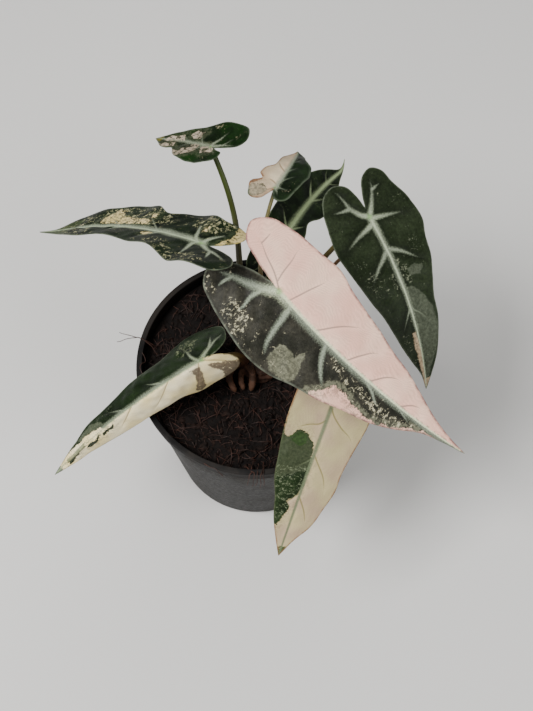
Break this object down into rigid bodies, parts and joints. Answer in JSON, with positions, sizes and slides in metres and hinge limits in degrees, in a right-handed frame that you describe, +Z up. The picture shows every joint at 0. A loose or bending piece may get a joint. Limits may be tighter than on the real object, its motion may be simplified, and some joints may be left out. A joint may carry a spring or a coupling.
{
  "type": "potted alocasia",
  "caption": "Variegated alocasia with arrow-shaped leaves on upright stalks, growing from a crown in soil in a round tapered nursery pot.",
  "frame": {"origin": "middle of the pot's flat base, on the surface that it stands on", "axes": "+Z up along the pot's axis; the broadest leaf reaches towards +X and -Y, and the longest hanging leaf towards -Y"},
  "size_m": [0.2002, 0.2157, 0.2125],
  "materials": {
    "pot_plastic": "satin",
    "potting_mix": "matte",
    "crown_skin": "matte",
    "stalk_skin": "satin",
    "dry_stalk_skin": "satin",
    "leaf_big": "satin",
    "leaf_right": "satin",
    "leaf_left": "satin",
    "leaf_lower_left": "satin",
    "leaf_front": "satin",
    "leaf_top": "satin",
    "leaf_small": "satin",
    "leaf_back": "satin"
  },
  "bodies": {
    "root": {"pot": "pot_plastic", "soil": "potting_mix", "crown": "crown_skin", "leaf_big": "leaf_big", "petiole_big": "stalk_skin", "leaf_right": "leaf_right", "petiole_right": "stalk_skin", "leaf_left": "leaf_left", "petiole_left": "stalk_skin", "leaf_lower_left": "leaf_lower_left", "petiole_lower_left": "stalk_skin", "leaf_front": "leaf_front", "petiole_front": "stalk_skin", "leaf_top": "leaf_top", "petiole_top": "stalk_skin", "leaf_small": "leaf_small", "petiole_small": "stalk_skin", "leaf_back": "leaf_back", "petiole_back": "stalk_skin", "petiole_trimmed": "dry_stalk_skin"}
  },
  "joints": []
}
